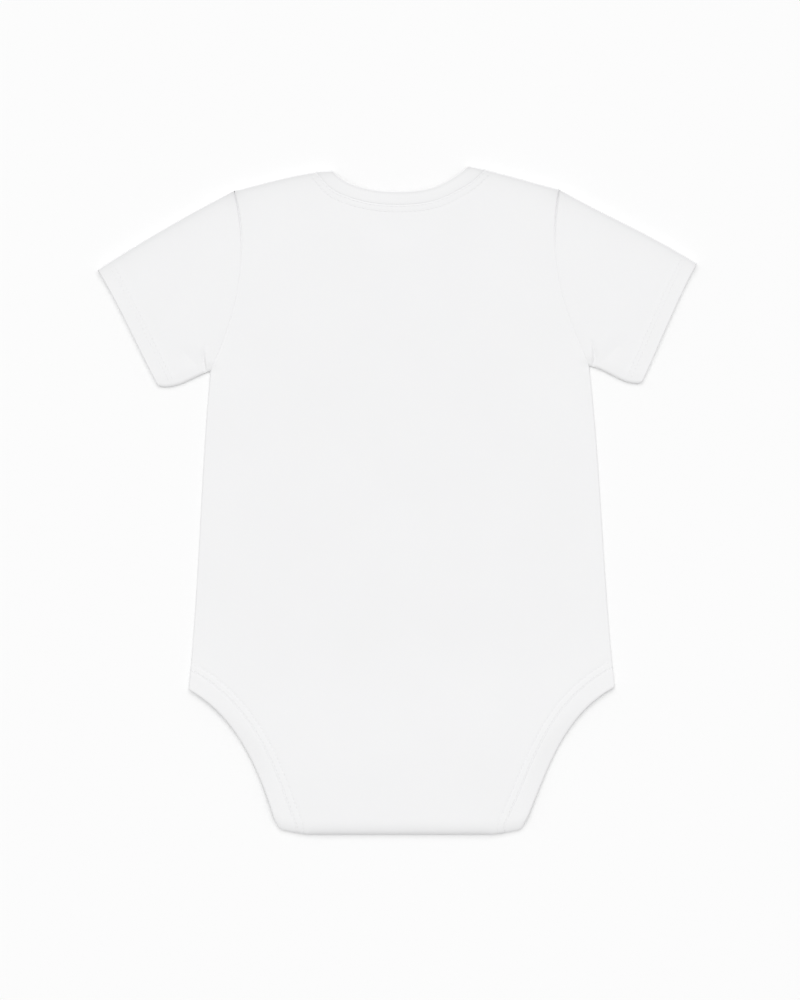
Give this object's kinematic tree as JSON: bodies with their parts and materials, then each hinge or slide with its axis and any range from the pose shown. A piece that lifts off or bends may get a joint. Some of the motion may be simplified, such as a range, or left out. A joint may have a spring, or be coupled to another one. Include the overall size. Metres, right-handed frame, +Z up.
{
  "type": "baby onesie",
  "caption": "Plain white short-sleeved baby bodysuit, laid flat with its back up, with a rib neckline, rib-bound leg openings and a crotch closed by press snaps.",
  "frame": {"origin": "middle of the footprint, on the surface that the garment lies on", "axes": "+Y from the crotch to the neck, +Z up out of the back, +X to the sleeve on the right as seen from above"},
  "size_m": [0.3738, 0.417, 0.0063],
  "materials": {
    "jersey": "matte single jersey knit, white",
    "rib": "matte rib knit, white",
    "snap": "satin white"
  },
  "bodies": {
    "root": {"back_panel": "jersey", "front_panel": "jersey", "sleeve_left": "jersey", "sleeve_right": "jersey", "neck_band": "rib", "leg_band_left": "rib", "leg_band_right": "rib", "snap_left": "snap", "snap_middle": "snap", "snap_right": "snap"}
  },
  "joints": []
}
